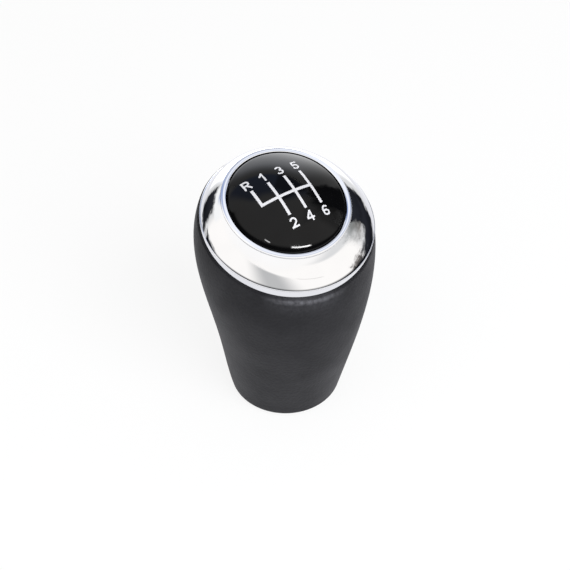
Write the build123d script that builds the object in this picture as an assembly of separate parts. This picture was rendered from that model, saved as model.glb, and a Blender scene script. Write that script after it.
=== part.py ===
from build123d import *
from math import asin, atan, cos, degrees, radians, sin, sqrt, tan
import os

# Gear shift knob with a moulded grip and a bright head that leans back towards the driver.
# Millimetres. +Z runs up the gear lever, +Y points forward, and the origin is the middle of the foot.

# Grip: round sections stacked on a slightly bowed spine, from the foot up to the tilted rim
GRIP_HEIGHT = 61.9
FOOT_RADIUS = 15.8
WAIST_RADIUS = 18.8
PALM_RADIUS = 21.7
SHOULDER_RADIUS = 25.0
RIM_RADIUS = 24.2
FOOT_TO_WAIST = 15.5
WAIST_TO_PALM = 15.5
SHOULDER_TO_RIM = 10.4
WAIST_SETBACK = 0.7
PALM_SETBACK = 1.0
SHOULDER_SETBACK = -0.25
RIM_SETBACK = 0.6
HEAD_TILT = 17.8
GRIP_WALL = 2.4
FOOT_LIP_WIDTH = 4.4
FOOT_LIP_THICKNESS = 1.6
FOOT_EDGE_RADIUS = 2.0
RIM_EDGE_RADIUS = 0.8

# Thread of the gear lever and the blind metal insert that takes it
THREAD_RADIUS = 5.0
THREAD_PITCH = 1.25
THREAD_DEPTH = 24.0
THREAD_LEAD_IN = 0.4
DRILL_POINT_ANGLE = 118.0
INSERT_WALL = 1.6
INSERT_END_WALL = 2.5
INSERT_GROOVE_DEPTH = 0.7
INSERT_GROOVE_HEIGHT = 4.0

# Core: walls, ribs and the pockets that keep its sections thin
BOSS_WALL = 1.8
FOOT_WALL = 2.0
FOOT_POCKET_DEPTH = 30.0
HEAD_WALL = 2.6
WELL_DEPTH = 9.0
HEAD_POCKET_DEPTH = 10.0
HEAD_POCKET_WIDTH = 5.5
HEAD_POCKET_INSET = 5.0
POCKET_DRAFT = 0.5
RIB_PAIRS = 4
RIB_THICKNESS = 1.6

# Trim ring: upright band that is taller on the driver's side, crowned face, and the flat bead round the cap
RING_INSET = 0.4
BAND_NEAR_HEIGHT = 3.1
BAND_FAR_HEIGHT = 0.4
BAND_STEP = 0.25
BAND_EDGE_RADIUS = 0.2
FACE_HEIGHT = 4.55
FACE_WIDTH = 5.75
FACE_CROWN = 0.6
BEAD_WIDTH = 1.4
BEAD_HEIGHT = 0.25
BEAD_CROWN = 0.06
BEAD_EDGE_RADIUS = 0.2

# Spigot of the ring, which snaps into the well of the core
SPIGOT_CLEARANCE = 0.15
SPIGOT_WALL = 1.4
SPIGOT_DEPTH = 3.0
HOOK_CATCH_DEPTH = 5.8
HOOK_WIDTH = 7.0
WINDOW_CLEARANCE = 0.3

# Barbs, alike on the hooks of the ring and the legs of the cap
BARB_REACH = 0.7
BARB_LAND = 0.5
BARB_LEAD = 1.2

# Cap: a domed shell that sits on a ledge inside the ring, forward of the middle of the head
CAP_FORWARD = 2.2
CAP_SIDE = 2.0
CAP_RISE = 4.4
CAP_WALL = 2.0
CAP_RIM_WIDTH = 2.4
CAP_EDGE_RADIUS = 1.6
CAP_CLEARANCE = 0.1
LEDGE_WIDTH = 2.0
LEDGE_THICKNESS = 1.5
SEAT_DEPTH = 1.7

# Snap legs of the cap, and the key that keeps the printed pattern straight
LEG_WIDTH = 5.0
LEG_THICKNESS = 1.3
LEG_CLEARANCE = 0.25
LEG_CATCH_GAP = 0.1
KEY_WIDTH = 3.0
KEY_LENGTH = 1.4
KEY_CLEARANCE = 0.15

# Sizes that follow from those above
PALM_HEIGHT = FOOT_TO_WAIST + WAIST_TO_PALM
SHOULDER_HEIGHT = GRIP_HEIGHT - SHOULDER_TO_RIM
THREAD_MINOR_RADIUS = THREAD_RADIUS - 0.5413 * THREAD_PITCH
INSERT_RADIUS = THREAD_RADIUS + INSERT_WALL
WELL_RADIUS = RIM_RADIUS - GRIP_WALL - HEAD_WALL
SPIGOT_RADIUS = WELL_RADIUS - SPIGOT_CLEARANCE
RING_RADIUS = RIM_RADIUS - RING_INSET
BAND_HEIGHT = (BAND_NEAR_HEIGHT + BAND_FAR_HEIGHT) / 2
BAND_SLANT = degrees(atan((BAND_NEAR_HEIGHT - BAND_FAR_HEIGHT) / (2 * RING_RADIUS)))
RING_HEIGHT = BAND_HEIGHT + FACE_HEIGHT
FACE_RADIUS = RING_RADIUS - BAND_STEP
BEAD_RADIUS = FACE_RADIUS - FACE_WIDTH
SEAT_RADIUS = BEAD_RADIUS - BEAD_WIDTH
CAP_RADIUS = SEAT_RADIUS - CAP_CLEARANCE
SEAT_HEIGHT = RING_HEIGHT - SEAT_DEPTH
LEDGE_RADIUS = CAP_RADIUS - LEDGE_WIDTH
LEDGE_UNDERSIDE = SEAT_HEIGHT - LEDGE_THICKNESS
REACH = 4 * SHOULDER_RADIUS


def tilted_plane(height: float, setback: float) -> Plane:
    """Plane of a grip section, which leans back more and more towards the rim."""
    lean = radians(HEAD_TILT) * (height / GRIP_HEIGHT) ** 2
    return Plane(origin=(0, -setback, height), x_dir=(1, 0, 0), z_dir=(0, -sin(lean), cos(lean)))


HEAD = tilted_plane(GRIP_HEIGHT, RIM_SETBACK).location
CAP_SEAT = HEAD * Pos(0, CAP_FORWARD, 0)
BAND_TOP = Pos(0, 0, BAND_HEIGHT) * Rot(-BAND_SLANT, 0, 0)


def turned(outline: list[tuple[float, float]]) -> Part:
    """Solid of revolution about Z from a closed outline of (radius, height) points."""
    return revolve(Plane.XZ * make_face(Polyline(*outline, close=True)), Axis.Z)


def disc(radius: float, bottom: float, top: float) -> Part:
    """Upright cylinder about Z between two heights."""
    return Pos(0, 0, bottom) * extrude(Circle(radius), top - bottom)


def spokes(pairs: int, width: float, turn: float = 0.0) -> Part:
    """Flat bars through the Z axis, evenly turned, which pick out or leave out sectors."""
    bars = [Rot(0, 0, turn + 180 * index / pairs) * Box(REACH, width, REACH) for index in range(pairs)]
    return bars[0].fuse(*bars[1:])


def grip_form(wall: float) -> Part:
    """Lofted body of the grip, set in by a wall from its outside."""
    stations = [
        (FOOT_RADIUS, 0, 0),
        (WAIST_RADIUS, FOOT_TO_WAIST, WAIST_SETBACK),
        (PALM_RADIUS, PALM_HEIGHT, PALM_SETBACK),
        (SHOULDER_RADIUS, SHOULDER_HEIGHT, SHOULDER_SETBACK),
        (RIM_RADIUS, GRIP_HEIGHT, RIM_SETBACK),
    ]
    return loft([tilted_plane(rise, setback) * Circle(radius - wall) for radius, rise, setback in stations])


def core_form() -> Part:
    """Outside of the core, which stands on the turned-in lip of the grip."""
    return grip_form(GRIP_WALL) - disc(REACH, -REACH, FOOT_LIP_THICKNESS)


def make_grip() -> Part:
    """Soft skin with a rounded foot, a rolled rim and a lip turned in under the core."""
    outside = grip_form(0)
    foot_edge = outside.faces().sort_by(Axis.Z)[0].outer_wire().edges()
    outside = fillet(foot_edge, FOOT_EDGE_RADIUS)
    rim_edge = outside.faces().sort_by(Axis.Z)[-1].outer_wire().edges()
    outside = fillet(rim_edge, RIM_EDGE_RADIUS)
    return outside - core_form() - disc(FOOT_RADIUS - FOOT_LIP_WIDTH, -REACH, FOOT_LIP_THICKNESS)


def insert_outline() -> list[tuple[float, float]]:
    """Outside of the insert: two collars that grip the core, with a groove between them."""
    bottom = FOOT_LIP_THICKNESS
    top = bottom + THREAD_DEPTH + INSERT_END_WALL
    groove_bottom = (bottom + top - INSERT_GROOVE_HEIGHT) / 2
    groove_top = groove_bottom + INSERT_GROOVE_HEIGHT
    waist = INSERT_RADIUS - INSERT_GROOVE_DEPTH
    return [
        (0, bottom),
        (INSERT_RADIUS, bottom),
        (INSERT_RADIUS, groove_bottom),
        (waist, groove_bottom),
        (waist, groove_top),
        (INSERT_RADIUS, groove_top),
        (INSERT_RADIUS, top),
        (0, top),
    ]


def make_thread_insert() -> Part:
    """Blind insert, bored to the minor diameter of its thread and countersunk at the mouth."""
    mouth = FOOT_LIP_THICKNESS
    lead_in_radius = THREAD_RADIUS + THREAD_LEAD_IN
    point = THREAD_MINOR_RADIUS / tan(radians(DRILL_POINT_ANGLE / 2))
    drilled = [
        (0, mouth),
        (lead_in_radius, mouth),
        (THREAD_MINOR_RADIUS, mouth + lead_in_radius - THREAD_MINOR_RADIUS),
        (THREAD_MINOR_RADIUS, mouth + THREAD_DEPTH - point),
        (0, mouth + THREAD_DEPTH),
    ]
    return turned(insert_outline()) - turned(drilled)


def pockets(inner: float, outer: float, mouth: float, floor: float) -> Part:
    """Ring of drafted pockets about Z with ribs left standing between them."""
    draft = abs(floor - mouth) * tan(radians(POCKET_DRAFT))
    trough = turned([(inner, mouth), (outer, mouth), (outer - draft, floor), (inner + draft, floor)])
    return trough - spokes(RIB_PAIRS, RIB_THICKNESS)


def make_core() -> Part:
    """Hard body that holds the insert, carries the skin and takes the ring in its tilted head."""
    foot_outer = FOOT_RADIUS - GRIP_WALL - FOOT_WALL
    foot_floor = FOOT_LIP_THICKNESS + FOOT_POCKET_DEPTH
    foot_pockets = pockets(INSERT_RADIUS + BOSS_WALL, foot_outer, FOOT_LIP_THICKNESS, foot_floor)
    head_outer = WELL_RADIUS - HEAD_POCKET_INSET
    head_floor = -WELL_DEPTH - HEAD_POCKET_DEPTH
    head_pockets = pockets(head_outer - HEAD_POCKET_WIDTH, head_outer, -WELL_DEPTH, head_floor)
    window_top = WINDOW_CLEARANCE - HOOK_CATCH_DEPTH
    window_bottom = -HOOK_CATCH_DEPTH - BARB_LAND - BARB_LEAD - WINDOW_CLEARANCE
    window_ring = disc(SPIGOT_RADIUS + BARB_REACH + WINDOW_CLEARANCE, window_bottom, window_top)
    windows = window_ring & spokes(2, HOOK_WIDTH + 2 * WINDOW_CLEARANCE, 45)
    well = disc(WELL_RADIUS, -WELL_DEPTH, REACH)
    core = core_form() - turned(insert_outline()) - foot_pockets
    return core - HEAD * well - HEAD * windows - HEAD * head_pockets


def ring_face() -> Part:
    """Crowned face of the ring, from the slanted band to the bead that lies level and further forward."""
    middle_radius = (FACE_RADIUS + BEAD_RADIUS) / 2 + FACE_CROWN
    middle_height = (BAND_HEIGHT + RING_HEIGHT) / 2 + FACE_CROWN / 2
    lower = BAND_TOP * Circle(FACE_RADIUS)
    middle = Pos(0, CAP_FORWARD / 2, middle_height) * Rot(-BAND_SLANT / 2, 0, 0) * Circle(middle_radius)
    upper = Pos(0, CAP_FORWARD, RING_HEIGHT) * Circle(BEAD_RADIUS)
    return loft([lower, middle, upper])


def ring_bead() -> Part:
    """Flat, slightly crowned bead round the cap, a small rounded step above the ring's face."""
    top = RING_HEIGHT + BEAD_HEIGHT
    crest = (SEAT_RADIUS + BEAD_WIDTH / 2, top + BEAD_CROWN)
    inner = (SEAT_RADIUS, top)
    outer = (BEAD_RADIUS, top)
    root = Polyline(inner, (SEAT_RADIUS, SEAT_HEIGHT), (BEAD_RADIUS, SEAT_HEIGHT), outer)
    section = make_face(root + ThreePointArc(outer, crest, inner))
    step = section.vertices().sort_by(Axis.Y)[-2:].sort_by(Axis.X)[-1]
    section = fillet(step, BEAD_EDGE_RADIUS)
    return revolve(Plane.XZ * section, Axis.Z)


def snap_arms(inner: float, outer: float, root: float, catch: float, width: float) -> Part:
    """Four arms about Z that hang from a root, each with an outward barb below its catch."""
    barb = outer + BARB_REACH
    land = catch - BARB_LAND
    tip = land - BARB_LEAD
    straight = [(outer, root), (inner, root), (inner, tip), (outer, tip)]
    barbed = [(barb, land), (barb, catch), (outer, catch)]
    return turned(straight + barbed) & spokes(2, width, 45)


def make_trim_ring() -> Part:
    """Bright ring with its seat for the cap, its spigot and four hooks below."""
    band = disc(RING_RADIUS, 0, RING_HEIGHT) - BAND_TOP * disc(REACH, 0, REACH)
    band = fillet(band.faces().sort_by(Axis.Z)[-1].edges(), BAND_EDGE_RADIUS)
    spigot = disc(SPIGOT_RADIUS, -SPIGOT_DEPTH, BAND_HEIGHT)
    hook_inner = SPIGOT_RADIUS - SPIGOT_WALL
    hooks = snap_arms(hook_inner, SPIGOT_RADIUS, 0, -HOOK_CATCH_DEPTH, HOOK_WIDTH)
    hollow = disc(hook_inner, -REACH, LEDGE_UNDERSIDE)
    seat = disc(SEAT_RADIUS, SEAT_HEIGHT, REACH) + disc(LEDGE_RADIUS, -REACH, REACH)
    notch_size = (KEY_WIDTH + 2 * KEY_CLEARANCE, 2 * (KEY_LENGTH + KEY_CLEARANCE), 2 * LEDGE_THICKNESS)
    seat += Pos(0, LEDGE_RADIUS, SEAT_HEIGHT - LEDGE_THICKNESS / 2) * Box(*notch_size)
    forward = Pos(0, CAP_FORWARD, 0)
    ring = band + ring_face() + forward * ring_bead() + spigot - hollow - forward * seat
    return HEAD * (ring + hooks)


def make_shift_cap() -> Part:
    """Domed cap with a rounded edge, snap legs under the ledge and a key at its front."""
    edge = SEAT_HEIGHT + CAP_SIDE
    apex = edge + CAP_RISE
    dome = (CAP_RADIUS**2 + CAP_RISE**2) / (2 * CAP_RISE)
    centre = apex - dome
    half_angle = asin(CAP_RADIUS / dome) / 2
    crown = (dome * sin(half_angle), centre + dome * cos(half_angle))
    side = Polyline((0, apex), (0, SEAT_HEIGHT), (CAP_RADIUS, SEAT_HEIGHT), (CAP_RADIUS, edge))
    section = make_face(side + ThreePointArc((CAP_RADIUS, edge), crown, (0, apex)))
    section = fillet(section.vertices().sort_by(Axis.Y)[-2], CAP_EDGE_RADIUS)
    shell = revolve(Plane.XZ * section, Axis.Z)
    inner_ball = Pos(0, 0, centre) * Sphere(dome - CAP_WALL)
    shell -= disc(CAP_RADIUS - CAP_RIM_WIDTH, SEAT_HEIGHT, REACH) & inner_ball
    leg_outer = LEDGE_RADIUS - LEG_CLEARANCE
    leg_catch = LEDGE_UNDERSIDE - LEG_CATCH_GAP
    leg_top = centre + sqrt((dome - CAP_WALL / 2) ** 2 - leg_outer**2)
    legs = snap_arms(leg_outer - LEG_THICKNESS, leg_outer, leg_top, leg_catch, LEG_WIDTH)
    key = Pos(0, LEDGE_RADIUS, SEAT_HEIGHT) * Box(KEY_WIDTH, 2 * KEY_LENGTH, LEDGE_THICKNESS)
    return CAP_SEAT * (shell + legs + key)


os.makedirs("parts", exist_ok=True)
export_step(make_grip(), "parts/grip.step")
export_step(make_core(), "parts/core.step")
export_step(make_thread_insert(), "parts/thread_insert.step")
export_step(make_trim_ring(), "parts/trim_ring.step")
export_step(make_shift_cap(), "parts/shift_cap.step")
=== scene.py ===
import logging
import math
from dataclasses import dataclass, field
from enum import Enum
from functools import reduce
from typing import Iterable, Optional, Union

import bmesh
import bpy
import numpy as np
from mathutils import Matrix, Vector


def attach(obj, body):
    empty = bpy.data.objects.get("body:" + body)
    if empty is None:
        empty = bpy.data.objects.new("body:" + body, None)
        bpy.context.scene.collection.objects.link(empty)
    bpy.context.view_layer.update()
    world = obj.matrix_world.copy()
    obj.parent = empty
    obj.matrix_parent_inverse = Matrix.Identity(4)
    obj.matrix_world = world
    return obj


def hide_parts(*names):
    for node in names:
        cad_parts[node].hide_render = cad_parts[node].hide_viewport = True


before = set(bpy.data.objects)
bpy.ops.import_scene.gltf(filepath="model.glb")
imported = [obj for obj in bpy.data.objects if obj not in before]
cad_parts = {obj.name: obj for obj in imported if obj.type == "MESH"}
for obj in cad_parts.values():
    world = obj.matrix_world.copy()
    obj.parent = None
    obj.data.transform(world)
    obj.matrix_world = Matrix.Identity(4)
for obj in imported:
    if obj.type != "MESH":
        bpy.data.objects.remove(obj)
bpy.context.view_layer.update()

# Looks of the gear shift knob. Sizes are millimetres until a piece is placed, which makes them metres.
MM = 0.001
BODY = "root"
LOG = logging.getLogger("gear_shift_knob")

# Nearly all values of a noise pattern lie in this range.
NOISE_RANGE = (0.3, 0.7)
FULL_TURN = 2 * math.pi

Socket = bpy.types.NodeSocket
Material = bpy.types.Material
Mesh = bpy.types.Mesh
Thing = bpy.types.Object
Feed = Union[Socket, Material, float, int, bool, str, tuple]
Point = tuple[float, float]
Triple = tuple[float, float, float]
Outline = list[Point]


class Side(Enum):
    """Lines along which the wall of the grip is drawn."""

    FRONT = 1.0
    BACK = -1.0
    FLANK = 0.0


class Rays(Enum):
    """Rays that a thing on the stage is there for."""

    MIRROR = "mirror"
    LIGHT = "light"


class Glyph(Enum):
    """Signs printed on the cap."""

    REVERSE = "R"
    FIRST = "1"
    SECOND = "2"
    THIRD = "3"
    FOURTH = "4"
    FIFTH = "5"
    SIXTH = "6"


class Tone(Enum):
    """Colours of the panels that the bright pieces mirror."""

    WHITE = (1.0, 1.0, 1.0)
    CREAM = (1.0, 0.975, 0.95)
    BLUE = (0.42, 0.53, 0.85)
    SLATE = (0.36, 0.38, 0.43)
    GREY = (0.34, 0.37, 0.37)
    TAUPE = (0.27, 0.24, 0.22)
    DUSK = (0.034, 0.036, 0.046)
    DARK = (0.006, 0.0065, 0.009)


class Graph:
    """Adds nodes to one tree and joins their sockets."""

    def __init__(self, tree: bpy.types.NodeTree) -> None:
        """Keeps the tree that the nodes go into."""
        self.tree = tree

    def add(self, kind: str, feeds: Optional[dict] = None, **settings: object) -> bpy.types.Node:
        """Adds a node, sets its options and feeds its inputs.

        Args:
            kind: Type name of the node.
            feeds: Inputs by name or place, each with a socket to join or a value to set.
            settings: Options of the node itself.

        Returns:
            The new node.
        """
        node = self.tree.nodes.new(kind)
        for option, choice in settings.items():
            setattr(node, option, choice)
        for key, value in (feeds or {}).items():
            if isinstance(value, Socket):
                self.tree.links.new(value, node.inputs[key])
            else:
                node.inputs[key].default_value = value
        return node

    def out(self, kind: str, feeds: Optional[dict] = None, **settings: object) -> Socket:
        """Adds a node and returns its first output."""
        return self.add(kind, feeds, **settings).outputs[0]

    def math(self, operation: str, *feeds: Feed) -> Socket:
        """Returns the result of a sum on decimal numbers."""
        return self.out("ShaderNodeMath", dict(enumerate(feeds)), operation=operation)

    def whole(self, operation: str, *feeds: Feed) -> Socket:
        """Returns the result of a sum on whole numbers."""
        return self.out("FunctionNodeIntegerMath", dict(enumerate(feeds)), operation=operation)

    def vector(self, operation: str, *feeds: Feed) -> Socket:
        """Returns the result of a sum on vectors."""
        return self.out("ShaderNodeVectorMath", dict(enumerate(feeds)), operation=operation)

    def product(self, *factors: Feed) -> Socket:
        """Returns numbers multiplied together."""
        return reduce(lambda first, second: self.math("MULTIPLY", first, second), factors)

    def scaled(self, vector: Socket, factor: Socket) -> Socket:
        """Returns a vector times a number."""
        return self.out("ShaderNodeVectorMath", {0: vector, "Scale": factor}, operation="SCALE")

    def along(self, place: Socket, way: Feed) -> Socket:
        """Returns how far a place lies along a direction."""
        feeds = {0: place, 1: way}
        return self.add("ShaderNodeVectorMath", feeds, operation="DOT_PRODUCT").outputs["Value"]

    def remap(self, value: Socket, source: Point, target: Point = (0.0, 1.0), smooth: bool = False) -> Socket:
        """Carries a value from one range into another and stops it at the ends.

        Args:
            value: The value to carry over.
            source: Ends of the range that it comes from.
            target: Ends of the range that it goes to.
            smooth: Whether the way between the ends is eased.

        Returns:
            The carried value.
        """
        feeds = {"Value": value, 1: source[0], 2: source[1], 3: target[0], 4: target[1]}
        kind = "SMOOTHSTEP" if smooth else "LINEAR"
        return self.out("ShaderNodeMapRange", feeds, interpolation_type=kind)

    def shade(self, factor: Socket, low: Triple, high: Triple) -> Socket:
        """Blends two colours.

        Args:
            factor: Share of the second colour.
            low: Colour at nought.
            high: Colour at one.

        Returns:
            The colour between them.
        """
        ramp = self.add("ShaderNodeValToRGB", {0: factor})
        for element, colour in zip(ramp.color_ramp.elements, (low, high)):
            element.color = (*colour, 1.0)
        return ramp.outputs[0]

    def end_in_mix(self, share: Socket, first: Socket, second: Socket) -> None:
        """Ends a material in two shaders, mixed by the share of the second."""
        mixed = self.out("ShaderNodeMixShader", {0: share, 1: first, 2: second})
        self.add("ShaderNodeOutputMaterial", {"Surface": mixed})


class Surface(Graph):
    """Graph of a finish, with patterns on the piece's own coordinates."""

    def __init__(self, tree: bpy.types.NodeTree) -> None:
        """Keeps the tree and reads the coordinates."""
        super().__init__(tree)
        self.place = self.add("ShaderNodeTexCoord").outputs["Object"]

    def noise(self, grain: float, detail: float) -> Socket:
        """Returns noise whose features are about a grain of millimetres across."""
        feeds = {"Vector": self.place, "Scale": 1 / (grain * MM), "Detail": detail}
        return self.out("ShaderNodeTexNoise", feeds)

    def cells(self, grain: float, smoothness: float) -> Socket:
        """Returns rounded cells about a grain of millimetres across."""
        feeds = {"Vector": self.place, "Scale": 1 / (grain * MM), "Smoothness": smoothness}
        return self.add("ShaderNodeTexVoronoi", feeds, feature="SMOOTH_F1").outputs["Distance"]

    def relief(self, height: Socket, depth: float, strength: float) -> Socket:
        """Returns a normal that is roughened by a height of so many millimetres."""
        feeds = {"Height": height, "Distance": depth * MM, "Strength": strength}
        return self.out("ShaderNodeBump", feeds)


def bare_tree(owner: Union[Material, bpy.types.World]) -> bpy.types.NodeTree:
    """Gives a new material or surround an empty tree.

    Args:
        owner: What the tree belongs to.

    Returns:
        The tree.
    """
    owner.use_nodes = True
    owner.node_tree.nodes.clear()
    return owner.node_tree


def add_object(title: str, data: bpy.types.ID) -> Thing:
    """Puts new data into the scene.

    Args:
        title: Name of the object.
        data: Mesh, curve, light or camera.

    Returns:
        The new object.
    """
    thing = bpy.data.objects.new(title, data)
    bpy.context.scene.collection.objects.link(thing)
    return thing


def settle(guide: Thing, extras: Iterable[Mesh] = ()) -> Mesh:
    """Turns a guide and its trees into a plain mesh, and removes the guide and what cuts it.

    Args:
        guide: Object with its trees on it.
        extras: Closed meshes that are joined to the result.

    Returns:
        The mesh, with its faces outwards.
    """
    graph = bpy.context.evaluated_depsgraph_get()
    mesh = bpy.data.meshes.new_from_object(guide.evaluated_get(graph), depsgraph=graph)
    cutters = [modifier.object for modifier in guide.modifiers if modifier.type == "BOOLEAN"]
    for spent in (guide, *cutters):
        bpy.data.objects.remove(spent)
    build = bmesh.new()
    for part in (mesh, *extras):
        build.from_mesh(part)
    bmesh.ops.recalc_face_normals(build, faces=build.faces)
    build.to_mesh(mesh)
    build.free()
    return mesh


def place_piece(title: str, mesh: Mesh, place: Matrix, slot: str, node: str = "") -> Thing:
    """Sets a mesh in its place and attaches it to the root body.

    Args:
        title: Name of the piece.
        mesh: Mesh in millimetres.
        place: Where the mesh goes, in millimetres.
        slot: Slot that the finish belongs to; not used.
        node: Solid that the piece stands for, if any.

    Returns:
        The piece.
    """
    mesh.transform(Matrix.Scale(MM, 4) @ place)
    mesh.name = title
    piece = add_object(title, mesh)
    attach(piece, BODY)
    if node:
        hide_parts(node)
    LOG.info("%s: %d faces", title, len(mesh.polygons))
    return piece


def arc(centre: Point, radius: Union[float, Point], start: float, end: float, steps: int) -> Outline:
    """Draws part of a circle or of an oval.

    Args:
        centre: Middle of the arc.
        radius: Its radius, or half of its width and half of its height.
        start: Angle of the first point from the outward direction, in degrees.
        end: Angle of the last point.
        steps: Number of steps between them.

    Returns:
        The points of the arc.
    """
    wide, tall = np.broadcast_to(radius, 2)
    angles = np.radians(np.linspace(start, end, steps + 1))
    return [(centre[0] + wide * math.cos(a), centre[1] + tall * math.sin(a)) for a in angles]


def block(title: str, size: Triple, middle: Triple) -> Mesh:
    """Makes a small rectangular block.

    Args:
        title: Name of the mesh.
        size: Its three sizes.
        middle: Its middle.

    Returns:
        The mesh.
    """
    mesh = bpy.data.meshes.new(title)
    build = bmesh.new()
    bmesh.ops.create_cube(build, size=1.0)
    build.to_mesh(mesh)
    build.free()
    mesh.transform(Matrix.Translation(middle) @ Matrix.Diagonal((*size, 1.0)))
    return mesh


def direction(azimuth: float, elevation: float) -> Vector:
    """Returns the way to an azimuth, counted from the driver's side, and an elevation, in degrees."""
    turn, rise = math.radians(azimuth), math.radians(elevation)
    return Vector((math.sin(turn) * math.cos(rise), -math.cos(turn) * math.cos(rise), math.sin(rise)))


def show_only(thing: Thing, rays: Rays) -> None:
    """Lets a thing on the stage act only on some rays.

    Args:
        thing: Light or panel.
        rays: Rays that it is there for.
    """
    thing.visible_glossy = rays is Rays.MIRROR
    thing.visible_diffuse = rays is Rays.LIGHT
    thing.visible_camera = False
    thing.visible_transmission = False
    thing.visible_volume_scatter = False
    thing.visible_shadow = False


@dataclass(frozen=True)
class Head:
    """Tilted plane on top of the grip that carries the ring and the cap."""

    rise: float = 61.9
    setback: float = 0.6
    tilt: float = 17.8
    cap_forward: float = 2.2

    def place(self, forward: float = 0.0) -> Matrix:
        """Returns where a piece on the head goes, moved forward along it."""
        turn = Matrix.Rotation(math.radians(self.tilt), 4, "X")
        return Matrix.Translation((0, -self.setback, self.rise)) @ turn @ Matrix.Translation((0, forward, 0))

    def axes(self) -> tuple[np.ndarray, np.ndarray, np.ndarray]:
        """Works out how the head stands.

        Returns:
            Its middle, its forward direction and its upward direction.
        """
        lean = math.radians(self.tilt)
        forward = np.array((0, math.cos(lean), math.sin(lean)))
        upward = np.array((0, -math.sin(lean), math.cos(lean)))
        return np.array((0, -self.setback, self.rise)), forward, upward


@dataclass(frozen=True)
class Finish:
    """What the finishes share: one shader whose colour, roughness and relief follow patterns.

    Each pattern is noise, given by its grain in millimetres and its detail: mottling is for the colour,
    dulling for the roughness, bumps for the relief. The relief is its depth in millimetres and its strength.
    """

    title: str
    dark: Triple
    light: Triple
    mottling: Point
    dulling: Point
    roughness: Point
    bumps: Point
    relief: Point
    metallic: float = 0.0
    specular: float = 0.5
    sheen: Point = (0.0, 0.5)

    def material(self) -> Material:
        """Makes the material.

        Returns:
            The material, with its nodes joined.
        """
        material = bpy.data.materials.new(self.title)
        surface = Surface(bare_tree(material))
        feeds = {
            "Base Color": surface.shade(self.tone(surface), self.dark, self.light),
            "Roughness": surface.remap(surface.noise(*self.dulling), NOISE_RANGE, self.roughness),
            "Normal": surface.relief(self.height(surface), *self.relief),
            "Metallic": self.metallic,
            "Specular IOR Level": self.specular,
            "Sheen Weight": self.sheen[0],
            "Sheen Roughness": self.sheen[1],
        }
        shader = surface.out("ShaderNodeBsdfPrincipled", feeds)
        surface.add("ShaderNodeOutputMaterial", {"Surface": shader})
        return material

    def tone(self, surface: Surface) -> Socket:
        """Returns the share of the light colour."""
        return surface.noise(*self.mottling)

    def height(self, surface: Surface) -> Socket:
        """Returns the height of the relief."""
        return surface.noise(*self.bumps)


@dataclass(frozen=True)
class SkinFinish(Finish):
    """Soft matt skin with a fine pressed grain, a painted highlight along its rim, and painted sheen that
    makes it paler below the rim in front.
    """

    title: str = "grip_skin"
    dark: Triple = (0.0096, 0.0096, 0.0114)
    # The light colour is where the cloudiness and pores lean, and also the colour of the painted sheen and
    # painted highlight.
    light: Triple = (0.112, 0.112, 0.125)
    mottling: Point = (11.0, 3.0)
    dulling: Point = (11.0, 3.0)
    roughness: Point = (0.60, 0.50)
    bumps: Point = (0.22, 3.0)
    relief: Point = (0.1, 0.4)
    specular: float = 0.155
    sheen: Point = (0.02, 0.45)
    head: Head = Head()
    pore_grain: float = 0.9
    pore_softness: float = 0.6
    bump_share: float = 0.5
    cloud_share: float = 0.03
    pore_share: float = 0.035
    # Painted sheen and painted highlight below the rim: how deep the sheen reaches and its share, where the
    # highlight rises, crests and ends below the rim and its share, the way and reach of the front, and the
    # mottling.
    painted_sheen_depth: float = 7.0
    painted_sheen_share: float = 0.27
    painted_highlight_depths: Triple = (2.3, 1.0, 0.1)
    painted_highlight_share: float = 0.78
    painted_sheen_way: Triple = (-0.309, -0.951, 0.0)
    painted_sheen_reach: Point = (20.5, 24.2)
    painted_sheen_flecks: Point = (1.1, 4.0)
    painted_sheen_fleck_range: Point = (0.32, 0.66)
    painted_sheen_fleck_share: Point = (0.32, 1.0)

    def tone(self, surface: Surface) -> Socket:
        """Adds the painted sheen and painted highlight below the rim to the cloudiness and the pores.

        Args:
            surface: Graph of the finish.

        Returns:
            The share of the light colour.
        """
        middle, _, upward = self.head.axes()
        rim = float(middle @ upward)
        level = surface.along(surface.place, tuple(upward))
        # Painted highlight on the rim's rounding and painted sheen below it in front: a lighter colour where
        # light would catch the skin, mottled, fading out just below the rim.
        start, foot, crest, gap = ((rim - depth) * MM for depth in (self.painted_sheen_depth, *self.painted_highlight_depths))
        near = surface.remap(level, (start, rim * MM), smooth=True)
        fall = surface.remap(level, (crest, gap), (self.painted_highlight_share, 0.0), True)
        painted_highlight = surface.product(surface.remap(level, (foot, crest), smooth=True), fall)
        reach = (self.painted_sheen_reach[0] * MM, self.painted_sheen_reach[1] * MM)
        front = surface.remap(surface.along(surface.place, self.painted_sheen_way), reach, smooth=True)
        painted_sheen_flecks = surface.remap(surface.noise(*self.painted_sheen_flecks), self.painted_sheen_fleck_range, self.painted_sheen_fleck_share)
        painted_sheen = surface.product(surface.math("MULTIPLY_ADD", near, self.painted_sheen_share, painted_highlight), front, painted_sheen_flecks)
        cloud = surface.remap(surface.noise(*self.mottling), NOISE_RANGE)
        pores = surface.product(surface.cells(self.pore_grain, self.pore_softness), self.pore_share)
        return surface.math("ADD", painted_sheen, surface.math("MULTIPLY_ADD", cloud, self.cloud_share, pores))

    def height(self, surface: Surface) -> Socket:
        """Returns the height of the pores and of the finer bumps between them."""
        pores = surface.cells(self.pore_grain, self.pore_softness)
        return surface.math("MULTIPLY_ADD", surface.noise(*self.bumps), self.bump_share, pores)


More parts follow.
